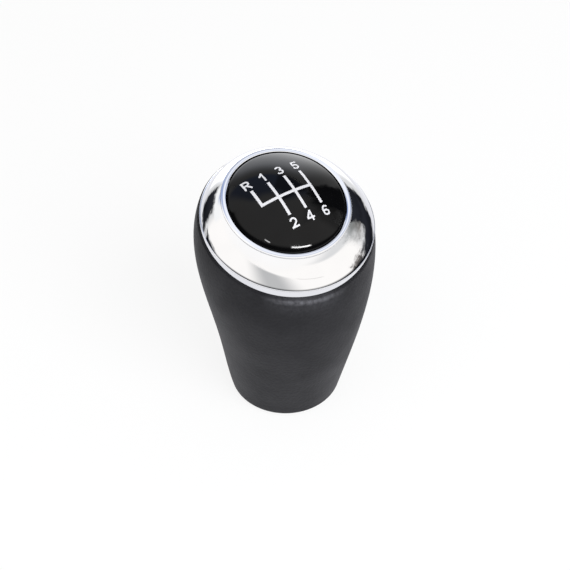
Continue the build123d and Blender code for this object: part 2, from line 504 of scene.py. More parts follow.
@dataclass(frozen=True)
class PlatedFinish(Finish):
    """Bright plating with the slight waviness of the moulding below it."""

    title: str = "ring_plating"
    dark: Triple = (0.68, 0.685, 0.70)
    light: Triple = (0.73, 0.735, 0.745)
    mottling: Point = (7.0, 2.0)
    dulling: Point = (2.5, 4.0)
    roughness: Point = (0.012, 0.032)
    bumps: Point = (7.0, 2.0)
    relief: Point = (0.02, 0.06)
    metallic: float = 1.0


@dataclass(frozen=True)
class GlossFinish(Finish):
    """Gloss black moulding, almost a mirror, with a trace of dulling."""

    title: str = "cap_gloss"
    dark: Triple = (0.0016, 0.0016, 0.0018)
    light: Triple = (0.003, 0.003, 0.0033)
    mottling: Point = (5.0, 3.0)
    dulling: Point = (5.0, 3.0)
    roughness: Point = (0.025, 0.06)
    bumps: Point = (8.0, 2.0)
    relief: Point = (0.01, 0.06)
    specular: float = 0.165


@dataclass(frozen=True)
class PrintFinish(Finish):
    """White print that is a little uneven in thickness."""

    title: str = "gate_print"
    dark: Triple = (0.60, 0.60, 0.63)
    light: Triple = (0.70, 0.70, 0.72)
    mottling: Point = (0.5, 3.0)
    dulling: Point = (0.5, 3.0)
    roughness: Point = (0.32, 0.45)
    bumps: Point = (0.5, 3.0)
    relief: Point = (0.01, 0.15)


@dataclass(frozen=True)
class BrassFinish(Finish):
    """Turned brass with a slight tarnish. Its bumps are tool rings: their feed, and how far they wander."""

    title: str = "insert_brass"
    dark: Triple = (0.46, 0.31, 0.11)
    light: Triple = (0.66, 0.48, 0.20)
    mottling: Point = (3.0, 4.0)
    dulling: Point = (3.0, 4.0)
    roughness: Point = (0.38, 0.22)
    bumps: Point = (0.18, 0.4)
    relief: Point = (0.01, 0.25)
    metallic: float = 1.0

    def tone(self, surface: Surface) -> Socket:
        """Returns the share of the bright brass where it isn't tarnished."""
        return surface.remap(surface.noise(*self.mottling), NOISE_RANGE)

    def height(self, surface: Surface) -> Socket:
        """Draws the rings that the tool left.

        Args:
            surface: Graph of the finish.

        Returns:
            The height of the relief.
        """
        feed, wander = self.bumps
        feeds = {"Vector": surface.place, "Scale": 1 / (FULL_TURN * feed * MM), "Distortion": wander}
        rings = surface.add("ShaderNodeTexWave", feeds, wave_type="RINGS", rings_direction="Z")
        return rings.outputs["Fac"]


@dataclass(frozen=True)
class MouldedFinish(Finish):
    """Dark moulded plastic with a spark-eroded texture."""

    title: str = "core_plastic"
    dark: Triple = (0.022, 0.022, 0.023)
    light: Triple = (0.036, 0.036, 0.037)
    mottling: Point = (4.0, 3.0)
    dulling: Point = (0.25, 4.0)
    roughness: Point = (0.48, 0.62)
    bumps: Point = (0.25, 4.0)
    relief: Point = (0.03, 0.3)


class ShapeTree:
    """A Geometry Nodes tree with named inputs, made once and put on guides as a modifier."""

    title = "shape"
    numbers: tuple[str, ...] = ()
    counts: tuple[str, ...] = ()

    def __init__(self) -> None:
        """Makes the tree: its inputs, its own nodes, and the end that all trees share."""
        self.tree = bpy.data.node_groups.new(self.title, "GeometryNodeTree")
        kinds = {"Geometry": "NodeSocketGeometry"}
        kinds.update(dict.fromkeys(self.counts, "NodeSocketInt"))
        kinds.update(dict.fromkeys(self.numbers, "NodeSocketFloat"))
        kinds["Material"] = "NodeSocketMaterial"
        sides = self.tree.interface
        self.sockets = {
            name: sides.new_socket(name=name, in_out="INPUT", socket_type=kind).identifier
            for name, kind in kinds.items()
        }
        sides.new_socket(name="Geometry", in_out="OUTPUT", socket_type="NodeSocketGeometry")
        self.graph = Graph(self.tree)
        self.given = self.graph.add("NodeGroupInput").outputs
        shape = self.graph.out("GeometryNodeRealizeInstances", {"Geometry": self.wire()})
        feeds = {"Geometry": shape, "Material": self.given["Material"]}
        dressed = self.graph.out("GeometryNodeSetMaterial", feeds)
        self.graph.add("NodeGroupOutput", {"Geometry": dressed})

    def wire(self) -> Socket:
        """Returns the socket that carries the shape; each tree makes its own."""
        return self.given["Geometry"]

    def smooth(self, skin: Socket, crease: Feed) -> Socket:
        """Shades a skin smooth, apart from its sharp edges.

        Args:
            skin: Socket that carries the skin.
            crease: Angle from which an edge is sharp, in radians.

        Returns:
            The socket that carries the shaded skin.
        """
        skin = self.graph.out("GeometryNodeSetShadeSmooth", {"Geometry": skin}, domain="FACE")
        bend = self.graph.out("GeometryNodeInputMeshEdgeAngle")
        feeds = {"Geometry": skin, "Shade Smooth": self.graph.math("LESS_THAN", bend, crease)}
        return self.graph.out("GeometryNodeSetShadeSmooth", feeds, domain="EDGE")

    def put_on(self, guide: Thing, values: dict[str, Feed]) -> None:
        """Puts the tree on a guide and sets its inputs.

        Args:
            guide: Object that the tree works on.
            values: Inputs of the tree by name.
        """
        modifier = guide.modifiers.new(self.title, "NODES")
        modifier.node_group = self.tree
        for name, value in values.items():
            modifier[self.sockets[name]] = value


class RingLoft(ShapeTree):
    """Stretches a skin over a stack of rings and creases it where it turns sharply."""

    title = "ring_loft"
    counts = ("Segments", "Closed")
    numbers = ("Crease",)
    merge_distance = 0.0001

    def wire(self) -> Socket:
        """Lays a grid over the rings: a row for each ring, a column for each segment.

        Returns:
            The socket that carries the skin.
        """
        graph, given = self.graph, self.given
        size = graph.add("GeometryNodeAttributeDomainSize", {0: given["Geometry"]}, component="MESH")
        rings = size.outputs["Point Count"]
        columns = graph.whole("ADD", given["Segments"], 1)
        rows = graph.whole("ADD", rings, given["Closed"])
        skin = graph.out("GeometryNodeMeshGrid", {"Vertices X": rows, "Vertices Y": columns})
        index = graph.out("GeometryNodeInputIndex")
        ring = graph.whole("MODULO", graph.whole("DIVIDE_FLOOR", index, columns), rings)
        turn = graph.math("DIVIDE", graph.whole("MODULO", index, columns), given["Segments"])
        angle = graph.math("MULTIPLY", turn, FULL_TURN)
        centre, lean = (self.sample(ring, name, "FLOAT_VECTOR") for name in ("centre", "lean"))
        span, cut = (self.sample(ring, name, "FLOAT") for name in ("span", "cut"))
        width = graph.math("MULTIPLY", span, graph.math("COSINE", angle))
        across = graph.out("ShaderNodeCombineXYZ", {"X": width})
        along = graph.scaled(lean, graph.math("SINE", angle))
        spot = graph.vector("ADD", graph.vector("ADD", centre, across), along)
        skin = graph.out("GeometryNodeSetPosition", {"Geometry": skin, "Position": spot})
        feeds = {"Geometry": skin, "Name": "cut", "Value": cut}
        skin = graph.out("GeometryNodeStoreNamedAttribute", feeds, data_type="FLOAT", domain="POINT")
        feeds = {"Geometry": skin, "Distance": self.merge_distance}
        return self.smooth(graph.out("GeometryNodeMergeByDistance", feeds), given["Crease"])

    def sample(self, ring: Socket, name: str, kind: str) -> Socket:
        """Reads what the guide says of one ring.

        Args:
            ring: Number of the ring.
            name: Name of the attribute to read.
            kind: Type of the attribute.

        Returns:
            The socket that carries the value.
        """
        value = self.graph.out("GeometryNodeInputNamedAttribute", {"Name": name}, data_type=kind)
        feeds = {"Geometry": self.given["Geometry"], "Value": value, "Index": ring}
        return self.graph.out("GeometryNodeSampleIndex", feeds, data_type=kind, domain="POINT")


class ThreadCut(ShapeTree):
    """Cuts a right-hand thread into the bore of a skin, where its rings ask for it."""

    title = "thread_cut"
    numbers = ("Pitch", "Depth")
    flank = (0.125, 0.75)

    def wire(self) -> Socket:
        """Moves the bore outwards along a helix with flat crests and roots.

        Returns:
            The socket that carries the threaded skin.
        """
        graph, given = self.graph, self.given
        place = graph.out("GeometryNodeInputPosition")
        axes = graph.add("ShaderNodeSeparateXYZ", {0: place}).outputs
        turn = graph.math("DIVIDE", graph.math("ARCTAN2", axes["Y"], axes["X"]), FULL_TURN)
        lead = graph.math("SUBTRACT", graph.math("DIVIDE", axes["Z"], given["Pitch"]), turn)
        swing = graph.math("SUBTRACT", graph.math("MULTIPLY", graph.math("FRACT", lead), 2.0), 1.0)
        groove = graph.remap(graph.math("ABSOLUTE", swing), self.flank, (1.0, 0.0))
        cut = graph.out("GeometryNodeInputNamedAttribute", {"Name": "cut"}, data_type="FLOAT")
        reach = graph.product(groove, cut, given["Depth"])
        outward = graph.vector("NORMALIZE", graph.vector("MULTIPLY", place, (1.0, 1.0, 0.0)))
        feeds = {"Geometry": given["Geometry"], "Offset": graph.scaled(outward, reach)}
        return graph.out("GeometryNodeSetPosition", feeds)


class SpreadRound(ShapeTree):
    """Repeats a part evenly round the Z axis."""

    title = "spread_round"
    counts = ("Count",)
    numbers = ("First Turn",)

    def wire(self) -> Socket:
        """Sets one copy on each of a number of points and turns it.

        Returns:
            The socket that carries the copies.
        """
        graph, given = self.graph, self.given
        points = graph.out("GeometryNodePoints", {"Count": given["Count"]})
        step = graph.math("DIVIDE", FULL_TURN, given["Count"])
        turn = graph.math("MULTIPLY_ADD", graph.out("GeometryNodeInputIndex"), step, given["First Turn"])
        rotation = graph.out("ShaderNodeCombineXYZ", {"Z": turn})
        feeds = {"Points": points, "Instance": given["Geometry"], "Rotation": rotation}
        return graph.out("GeometryNodeInstanceOnPoints", feeds)


class DomePrint(ShapeTree):
    """Draws strokes of even width, joins them and lays them on a dome."""

    title = "dome_print"
    numbers = ("Width", "Thickness", "Sunk", "Dome Radius", "Dome Centre", "Step")
    crease = 0.5

    def wire(self) -> Socket:
        """Makes flat bars along the strokes, unites them and lifts each point to the dome.

        Returns:
            The socket that carries the print.
        """
        graph, given = self.graph, self.given
        feeds = {"Curve": given["Geometry"], "Length": given["Step"]}
        path = graph.out("GeometryNodeResampleCurve", feeds, mode="LENGTH")
        feeds = {"Width": given["Width"], "Height": given["Thickness"]}
        bar = graph.out("GeometryNodeCurvePrimitiveQuadrilateral", feeds)
        feeds = {"Curve": path, "Profile Curve": bar, "Fill Caps": True}
        feeds = {"Mesh 2": graph.out("GeometryNodeCurveToMesh", feeds), "Self Intersection": True}
        joined = graph.out("GeometryNodeMeshBoolean", feeds, operation="UNION", solver="EXACT")
        sheet = graph.out("GeometryNodeTriangulate", {0: joined})
        level = graph.vector("MULTIPLY", graph.out("GeometryNodeInputPosition"), (1.0, 1.0, 0.0))
        square = graph.math("POWER", given["Dome Radius"], 2.0)
        rise = graph.math("SQRT", graph.math("SUBTRACT", square, graph.along(level, level)))
        dome = graph.math("ADD", rise, given["Dome Centre"])
        offset = graph.out("ShaderNodeCombineXYZ", {"Z": graph.math("SUBTRACT", dome, given["Sunk"])})
        sheet = graph.out("GeometryNodeSetPosition", {"Geometry": sheet, "Offset": offset})
        return self.smooth(sheet, self.crease)


@dataclass
class Trees:
    """Trees that the pieces share."""

    loft: RingLoft = field(default_factory=RingLoft)
    spread: SpreadRound = field(default_factory=SpreadRound)
    printer: DomePrint = field(default_factory=DomePrint)
    cutter: ThreadCut = field(default_factory=ThreadCut)


@dataclass
class RingStack:
    """Rings that a skin is stretched over, in order round the section of a piece.

    A row holds the middle of a ring, the way from there to its front, half of its width, and the share of the
    thread's depth that is cut into it.
    """

    closed: bool = True
    rows: list[tuple] = field(default_factory=list)

    def add(self, front: np.ndarray, back: np.ndarray, span: float) -> None:
        """Adds a ring through a front and a back point, with half of its width."""
        self.rows.append(((front + back) / 2, (front - back) / 2, span, 0.0))

    def turn(self, outline: Iterable[Point], forward: float = 0.0, cut: float = 0.0) -> None:
        """Adds level rings of so many radii and heights, moved forward."""
        for radius, height in outline:
            self.rows.append(((0.0, forward, height), (0.0, radius, 0.0), radius, cut))

    def guide(self, title: str) -> Thing:
        """Makes a guide of one point a ring, which carries the ring's sizes.

        Args:
            title: Name of the piece.

        Returns:
            The guide.
        """
        columns = dict(zip(("centre", "lean", "span", "cut"), zip(*self.rows)))
        mesh = bpy.data.meshes.new(title)
        mesh.from_pydata([tuple(centre) for centre in columns["centre"]], [], [])
        for name, values in columns.items():
            table = np.asarray(values, np.float32)
            kind, key = ("FLOAT", "value") if table.ndim == 1 else ("FLOAT_VECTOR", "vector")
            mesh.attributes.new(name, kind, "POINT").data.foreach_set(key, table.ravel())
        return add_object(title, mesh)


@dataclass
class LoftedPiece:
    """What the lofted pieces share: a skin over rings, details that rings can't give, and a place."""

    head: Head
    trees: Trees
    title: str = ""
    slot: str = ""
    node: str = ""
    segments: int = 96
    crease: float = 0.5

    def rings(self) -> RingStack:
        """Returns the rings of the skin; each piece lists its own."""
        return RingStack()

    def details(self, guide: Thing, material: Material) -> list[Mesh]:
        """Returns closed meshes to join to the skin; a piece may also put cutters on its guide."""
        return []

    def place(self) -> Matrix:
        """Returns where the piece goes; the rings may already be in their place."""
        return Matrix.Identity(4)

    def build(self, finish: Finish) -> Thing:
        """Makes the piece.

        Args:
            finish: Finish of the piece.

        Returns:
            The piece.
        """
        material = finish.material()
        stack = self.rings()
        guide = stack.guide(self.title)
        values = {"Segments": self.segments, "Closed": int(stack.closed), "Crease": self.crease}
        self.trees.loft.put_on(guide, {**values, "Material": material})
        mesh = settle(guide, self.details(guide, material))
        return place_piece(self.title, mesh, self.place(), self.slot, self.node)


@dataclass
class GripSkin(LoftedPiece):
    """Soft skin: a bowed, leaning loft through five round sections, with a lip turned in at the foot."""

    title: str = "grip_skin"
    slot: str = "grip_skin"
    node: str = "grip"
    segments: int = 160
    crease: float = 0.6
    radii: tuple[float, ...] = (15.8, 18.8, 21.7, 25.0, 24.2)
    rises: tuple[float, ...] = (0.0, 15.5, 31.0, 51.5, 61.9)
    setbacks: tuple[float, ...] = (0.0, 0.7, 1.0, -0.25, 0.6)
    wall: float = 2.4
    lip_width: float = 4.4
    lip_thickness: float = 1.6
    foot_edge: float = 2.0
    foot_steps: int = 12
    rim_edge: float = 0.8
    rim_steps: int = 8
    edge_search: float = 8.0
    edge_samples: int = 400
    wall_rings: int = 96
    inner_rings: int = 30

    def line(self, side: Side, inset: float, rise: np.ndarray) -> np.ndarray:
        """Follows the wall along one side.

        Args:
            side: Side of the grip.
            inset: How far inside the outer surface the line runs.
            rise: Heights along the spine.

        Returns:
            One point of the wall for each height.
        """
        knots = np.array(self.rises)
        radii = np.array(self.radii) - inset
        leans = math.radians(self.head.tilt) * (knots / knots[-1]) ** 2
        along = [-np.array(self.setbacks), radii, radii * np.cos(leans), radii * np.sin(leans)]
        curves = [np.polyfit(knots, values, len(knots) - 1) for values in along]
        shift, width, depth, lift = (np.polyval(curve, rise) for curve in curves)
        if side is Side.FLANK:
            return np.stack([width, shift, rise], -1)
        return np.stack([0 * rise, shift + side.value * depth, rise + side.value * lift], -1)

    def rounding(self, out: np.ndarray, up: np.ndarray, radius: float, steps: int) -> tuple[Outline, float]:
        """Rounds the edge between a flat face and the wall that rises from it.

        Args:
            out: Distances of the wall from the axis.
            up: Distances of the wall from the flat face.
            radius: Radius of the rounding.
            steps: Number of steps along it.

        Returns:
            The points of the rounding from the face to the wall, and how far along the wall it ends.
        """
        way = np.stack([np.gradient(out), np.gradient(up)])
        way /= np.linalg.norm(way, axis=0)
        order = np.arange(len(up))
        spot = float(np.interp(radius, up + radius * way[0], order))
        middle = float(np.interp(spot, order, out - radius * way[1]))
        end_out = float(np.interp(spot, order, out)) - middle
        end_up = float(np.interp(spot, order, up)) - radius
        end = math.degrees(math.atan2(end_up, end_out))
        step = self.edge_search / (self.edge_samples - 1)
        return arc((middle, radius), radius, -90.0, end, steps), step * spot

    def add_ring(self, stack: RingStack, rises: dict[Side, float], inset: float) -> None:
        """Adds a ring through the wall's lines, at a height on each, so far inside the outer surface."""
        front, back, flank = (self.line(side, inset, np.array([rises[side]]))[0] for side in Side)
        stack.add(front, back, flank[0])

    def rings(self) -> RingStack:
        """Lists the rings round the section, from the opening in the foot up the outside and down the inside.

        Returns:
            The stack of rings.
        """
        origin, forward, upward = self.head.axes()
        foot_rise = np.linspace(0.0, self.edge_search, self.edge_samples)
        foot, rim, start, end = {}, {}, {}, {}
        for side in Side:
            low = self.line(side, 0.0, foot_rise)
            out = low[:, 0] if side is Side.FLANK else side.value * low[:, 1]
            foot[side], start[side] = self.rounding(out, low[:, 2], self.foot_edge, self.foot_steps)
            high = self.line(side, 0.0, self.head.rise - foot_rise) - origin
            out = high[:, 0] if side is Side.FLANK else side.value * (high @ forward)
            rim[side], drop = self.rounding(out, -(high @ upward), self.rim_edge, self.rim_steps)
            end[side] = self.head.rise - drop
        stack = RingStack()
        opening = self.radii[0] - self.lip_width
        stack.turn([(opening, 0.0), ((opening + foot[Side.FLANK][0][0]) / 2, 0.0)])
        for fore, aft, flank in zip(*(foot[side] for side in Side)):
            stack.add(np.array((0, fore[0], fore[1])), np.array((0, -aft[0], aft[1])), flank[0])
        for share in np.linspace(0.0, 1.0, self.wall_rings)[1:-1]:
            rises = {side: start[side] + (end[side] - start[side]) * share for side in Side}
            self.add_ring(stack, rises, 0.0)
        for fore, aft, flank in zip(*(reversed(rim[side]) for side in Side)):
            front = origin + fore[0] * forward - fore[1] * upward
            back = origin - aft[0] * forward - aft[1] * upward
            stack.add(front, back, flank[0])
        for rise in np.linspace(self.head.rise, self.lip_thickness, self.inner_rings):
            self.add_ring(stack, dict.fromkeys(Side, rise), self.wall)
        stack.turn([(opening, self.lip_thickness)])
        return stack


@dataclass
class SnapArms:
    """Springy arms round an axis, each with an outward barb at its end."""

    spread: SpreadRound
    inner: float
    outer: float
    root: float
    catch: float
    width: float
    barb_reach: float = 0.7
    barb_land: float = 0.5
    barb_lead: float = 1.2
    steps: int = 6
    count: int = 4
    first_turn: float = 45.0

    def build(self, material: Material) -> Mesh:
        """Makes one arm and spreads it round the axis.

        Args:
            material: Material of the piece that the arms are part of.

        Returns:
            A mesh of the arms.
        """
        land = self.catch - self.barb_land
        tip = land - self.barb_lead
        barb = self.outer + self.barb_reach
        outline = [
            (self.inner, self.root),
            (self.inner, tip),
            (self.outer, tip),
            (barb, land),
            (barb, self.catch),
            (self.outer, self.catch),
            (self.outer, self.root),
        ]
        corners = []
        for share in np.linspace(-1.0, 1.0, self.steps + 1):
            for radius, height in outline:
                angle = share * math.asin(self.width / 2 / radius)
                corners.append((radius * math.cos(angle), radius * math.sin(angle), height))
        count = len(outline)
        faces = []
        for first in range(0, self.steps * count, count):
            for k in range(count):
                after = (k + 1) % count
                faces.append((first + k, first + after, first + count + after, first + count + k))
        faces += [range(count), range(self.steps * count, len(corners))]
        mesh = bpy.data.meshes.new("snap_arm")
        mesh.from_pydata(corners, [], [tuple(face) for face in faces])
        guide = add_object("snap_arm", mesh)
        values = {"Count": self.count, "First Turn": math.radians(self.first_turn), "Material": material}
        self.spread.put_on(guide, values)
        return settle(guide)


@dataclass
class TrimRing(LoftedPiece):
    """Bright ring: slanted band, crowned face, bead round the cap, and the spigot with its hooks below.

    A row of the face holds a radius, a height, how far forward it lies, and the share of the band's slant.
    """

    title: str = "trim_ring_plated"
    slot: str = "ring_plating"
    node: str = "trim_ring"
    segments: int = 256
    radius: float = 23.8
    band_near: float = 3.1
    band_far: float = 0.4
    band_edge: float = 0.2
    band_edge_steps: int = 5
    band_foot: float = 0.1
    face: tuple[tuple[float, float, float, float], ...] = (
        (23.55, 1.75, 0.0, 1.0),
        (21.275, 4.325, 1.1, 0.5),
        (17.8, 6.3, 2.2, 0.0),
    )
    face_rings: int = 30
    seat_radius: float = 16.4
    seat_height: float = 4.6
    bead_height: float = 0.25
    bead_crown: float = 0.06
    bead_edge: float = 0.2
    bead_edge_steps: int = 6
    bead_steps: int = 12
    ledge_radius: float = 14.3
    ledge_underside: float = 3.1
    spigot_radius: float = 19.05
    spigot_inner: float = 17.65
    spigot_depth: float = 3.0
    hook_inset: float = 0.02
    hook_root: float = -1.0
    hook_catch: float = -5.8
    hook_width: float = 7.0
    notch: Triple = (3.3, 3.1, 3.0)
    notch_drop: float = 0.75

    def rings(self) -> RingStack:
        """Lists the rings round the section, from the foot of the band over the face and back below.

        Returns:
            The stack of rings.
        """
        stack = RingStack()
        slope = (self.band_near - self.band_far) / (2 * self.radius)
        edge = (self.radius - self.band_edge, (self.band_near + self.band_far) / 2 - self.band_edge)
        stack.turn([(self.spigot_radius, 0.0), (self.radius, 0.0), (self.radius, self.band_foot)])
        for radius, rise in arc(edge, self.band_edge, 0.0, 90.0, self.band_edge_steps):
            middle, reach = np.array((0, 0, rise)), np.array((0, radius, -radius * slope))
            stack.add(middle + reach, middle - reach, radius)
        radii, rises, shifts, shares = (np.array(values) for values in zip(*self.face))
        leans = math.atan(slope) * shares
        knots = np.append(0.0, np.cumsum(np.hypot(np.diff(radii), np.diff(rises))))
        along = np.linspace(knots[0], knots[-1], self.face_rings + 1)
        lines = (radii, rises, shifts, radii * np.cos(leans), radii * np.sin(leans))
        curves = [np.polyval(np.polyfit(knots, values, len(knots) - 1), along) for values in lines]
        for radius, rise, shift, depth, drop in zip(*curves):
            middle, reach = np.array((0, shift, rise)), np.array((0, depth, -drop))
            stack.add(middle + reach, middle - reach, radius)
        forward = shifts[-1]
        stack.turn(self.bead(radii[-1], rises[-1] + self.bead_height), forward)
        stack.turn([(self.seat_radius, self.seat_height), (self.ledge_radius, self.seat_height)], forward)
        stack.turn([(self.ledge_radius, self.ledge_underside)], forward)
        stack.turn([(self.spigot_inner, self.ledge_underside), (self.spigot_inner, -self.spigot_depth)])
        stack.turn([(self.spigot_radius, -self.spigot_depth)])
        return stack

    def bead(self, radius: float, height: float) -> Outline:
        """Draws the section of the bead: a rounded step, then a flat crowned land.

        Args:
            radius: Outer radius of the bead.
            height: Height of the land's inner edge.

        Returns:
            The points from the step to the inner edge.
        """
        half = (radius - self.seat_radius) / 2
        crown = (half**2 + self.bead_crown**2) / (2 * self.bead_crown)
        middle = (self.seat_radius + half, height + self.bead_crown - crown)
        inner = half - self.bead_edge
        lean = math.degrees(math.acos(inner / (crown - self.bead_edge)))
        corner = (middle[0] + inner, middle[1] + (crown - self.bead_edge) * math.sin(math.radians(lean)))
        end = 90.0 + math.degrees(math.asin(half / crown))
        step = arc(corner, self.bead_edge, 0.0, lean, self.bead_edge_steps)
        return step + arc(middle, crown, lean, end, self.bead_steps)[1:]

    def details(self, guide: Thing, material: Material) -> list[Mesh]:
        """Cuts the notch for the key of the cap, and makes the hooks.

        Args:
            guide: Guide of the ring.
            material: Material of the ring.

        Returns:
            The hooks.
        """
        middle = (0, self.head.cap_forward + self.ledge_radius, self.seat_height - self.notch_drop)
        cut = guide.modifiers.new("notch", "BOOLEAN")
        cut.operation = "DIFFERENCE"
        cut.object = add_object("notch", block("notch", self.notch, middle))
        inner, outer = self.spigot_inner + self.hook_inset, self.spigot_radius - self.hook_inset
        hooks = SnapArms(self.trees.spread, inner, outer, self.hook_root, self.hook_catch, self.hook_width)
        return [hooks.build(material)]

    def place(self) -> Matrix:
        """Returns the place on the head."""
        return self.head.place()


@dataclass
class ShiftCap(LoftedPiece):
    """Domed cap with a rounded edge, hollow below, with snap legs and a key."""

    title: str = "shift_cap_gloss"
    slot: str = "cap_gloss"
    node: str = "shift_cap"
    segments: int = 192
    crease: float = 0.6
    radius: float = 16.3
    seat_height: float = 4.6
    side: float = 2.0
    rise: float = 4.4
    wall: float = 2.0
    rim_width: float = 2.4
    edge: float = 1.6
    dome_steps: int = 40
    edge_steps: int = 14
    hollow_steps: int = 14
    print_relief: float = 0.02
    leg_outer: float = 14.05
    leg_thickness: float = 1.3
    leg_catch: float = 3.0
    leg_width: float = 5.0
    key: Triple = (3.0, 2.8, 1.5)
    key_forward: float = 14.3

    @property
    def dome(self) -> float:
        """Radius of the dome."""
        return (self.radius**2 + self.rise**2) / (2 * self.rise)

    @property
    def centre(self) -> float:
        """Height of the dome's middle above the head."""
        return self.seat_height + self.side + self.rise - self.dome

    def rings(self) -> RingStack:
        """Lists the rings from the top of the dome over the edge and up the inside.

        Returns:
            The stack of rings.
        """
        outer = self.dome - self.print_relief
        inner = self.dome - self.wall
        middle = self.radius - self.edge
        tangent = math.degrees(math.acos(middle / (outer - self.edge)))
        lift = self.centre + math.sqrt((outer - self.edge) ** 2 - middle**2)
        hollow = self.radius - self.rim_width
        hollow_angle = math.degrees(math.acos(hollow / inner))
        stack = RingStack(closed=False)
        stack.turn([(0.0, self.centre + outer)])
        stack.turn(arc((0.0, self.centre), outer, 90.0, tangent, self.dome_steps)[1:])
        stack.turn(arc((middle, lift), self.edge, tangent, 0.0, self.edge_steps)[1:])
        stack.turn([(self.radius, self.seat_height), (hollow, self.seat_height)])
        stack.turn(arc((0.0, self.centre), inner, hollow_angle, 90.0, self.hollow_steps)[:-1])
        stack.turn([(0.0, self.centre + inner)])
        return stack

    def details(self, guide: Thing, material: Material) -> list[Mesh]:
        """Makes the legs and the key.

        Args:
            guide: Guide of the cap.
            material: Material of the cap.

        Returns:
            The legs and the key.
        """
        root = self.centre + math.sqrt((self.dome - self.wall / 2) ** 2 - self.leg_outer**2)
        inner = self.leg_outer - self.leg_thickness
        legs = SnapArms(self.trees.spread, inner, self.leg_outer, root, self.leg_catch, self.leg_width)
        return [legs.build(material), block("key", self.key, (0, self.key_forward, self.seat_height))]

    def place(self) -> Matrix:
        """Returns the place on the head, forward of its middle."""
        return self.head.place(self.head.cap_forward)


@dataclass
class GatePrint:
    """White shift pattern on the cap: gate lines, and a sign at the end of each slot."""

    cap: ShiftCap
    columns: tuple[float, ...] = (-8.30, -3.30, 1.71, 6.75)
    bar: float = 0.05
    upper_end: float = 5.45
    lower_end: float = -5.75
    line_width: float = 0.80
    sign_height: float = 2.95
    sign_width: float = 0.48
    upper_base: float = 6.27
    lower_base: float = -9.50
    sunk: float = 0.04
    stroke_step: float = 0.3
    bow_turn: float = 12.0
    bow_steps: int = 6

    def bow(self, middle: Point, radii: Point, start: float, end: float) -> Outline:
        """Returns part of an oval, in steps small enough for a sign."""
        return arc(middle, radii, start, end, max(self.bow_steps, int(abs(end - start) / self.bow_turn)))

    def strokes(self, glyph: Glyph) -> list[Outline]:
        """Draws a sign of height one, with its middle at nought.

        Args:
            glyph: The sign.

        Returns:
            The lines down the middle of its strokes.
        """
        bow = self.bow
        drawn = {
            Glyph.REVERSE: [
                [(-0.32, 0.0), (-0.32, 1.0)],
                [(-0.32, 0.9), (0.02, 0.9)] + bow((0.02, 0.69), (0.22, 0.21), 90, -90) + [(-0.32, 0.48)],
                [(-0.06, 0.50), (0.30, 0.0)],
            ],
            Glyph.FIRST: [[(0.01, 0.0), (0.01, 1.0)], [(-0.34, 0.62), (-0.14, 0.76), (0.01, 0.96)]],
            Glyph.SECOND: [
                bow((0.0, 0.64), (0.26, 0.26), 168, -38) + [(-0.24, 0.10)],
                [(-0.36, 0.10), (0.37, 0.10)],
            ],
            Glyph.THIRD: [
                bow((-0.02, 0.70), (0.25, 0.20), 160, -90),
                bow((-0.02, 0.305), (0.28, 0.205), 90, -162),
            ],
            Glyph.FOURTH: [
                [(0.14, 0.0), (0.14, 1.0)],
                [(0.12, 0.93), (-0.32, 0.34)],
                [(-0.39, 0.30), (0.39, 0.30)],
            ],
            Glyph.FIFTH: [
                [(-0.20, 0.90), (0.32, 0.90)],
                [(-0.16, 0.97), (-0.24, 0.44)],
                bow((-0.02, 0.335), (0.28, 0.235), 142, -162),
            ],
            Glyph.SIXTH: [
                bow((0.0, 0.31), (0.26, 0.21), 0, 360),
                bow((0.06, 0.49), (0.32, 0.41), 205, 48),
            ],
        }
        return drawn[glyph]

    def lines(self) -> list[Outline]:
        """Draws the gate: three full slots, the short one for reverse, and the bar across them.

        Returns:
            The lines down the middle of the bars.
        """
        reverse = self.columns[0]
        gate = [[(column, self.lower_end), (column, self.upper_end)] for column in self.columns[1:]]
        gate.append([(reverse, self.bar), (reverse, self.upper_end)])
        gate.append([(reverse - self.line_width / 2, self.bar), (self.columns[-1], self.bar)])
        return gate

    def signs(self) -> list[Outline]:
        """Sets the signs at the ends of the slots.

        Returns:
            The lines down the middle of all their strokes.
        """
        upper = (Glyph.REVERSE, Glyph.FIRST, Glyph.THIRD, Glyph.FIFTH)
        lower = (Glyph.SECOND, Glyph.FOURTH, Glyph.SIXTH)
        spots = [(glyph, column, self.upper_base) for glyph, column in zip(upper, self.columns)]
        spots += [(glyph, column, self.lower_base) for glyph, column in zip(lower, self.columns[1:])]
        return [
            [(column + self.sign_height * x, base + self.sign_height * y) for x, y in stroke]
            for glyph, column, base in spots
            for stroke in self.strokes(glyph)
        ]

    def lay(self, title: str, drawn: list[Outline], width: float, material: Material) -> None:
        """Lays strokes of one width on the cap.

        Args:
            title: Name of the piece.
            drawn: Lines down the middle of the strokes.
            width: Width of the strokes.
            material: Material of the print.
        """
        curve = bpy.data.curves.new(title, "CURVE")
        curve.dimensions = "3D"
        curve.twist_mode = "Z_UP"
        for stroke in drawn:
            spline = curve.splines.new("POLY")
            spline.points.add(len(stroke) - 1)
            for spot, (x, y) in zip(spline.points, stroke):
                spot.co = (x, y, 0.0, 1.0)
        guide = add_object(title, curve)
        values = {
            "Width": width,
            "Thickness": 2 * self.sunk,
            "Sunk": self.sunk,
            "Dome Radius": self.cap.dome,
            "Dome Centre": self.cap.centre,
            "Step": self.stroke_step,
            "Material": material,
        }
        self.cap.trees.printer.put_on(guide, values)
        place_piece(title, settle(guide), self.cap.place(), "cap_gloss")

    def build(self, finish: Finish) -> None:
        """Makes the gate lines and the signs.

        Args:
            finish: Finish of the print.
        """
        material = finish.material()
        self.lay("gate_lines", self.lines(), self.line_width, material)
        self.lay("gear_signs", self.signs(), self.sign_width, material)


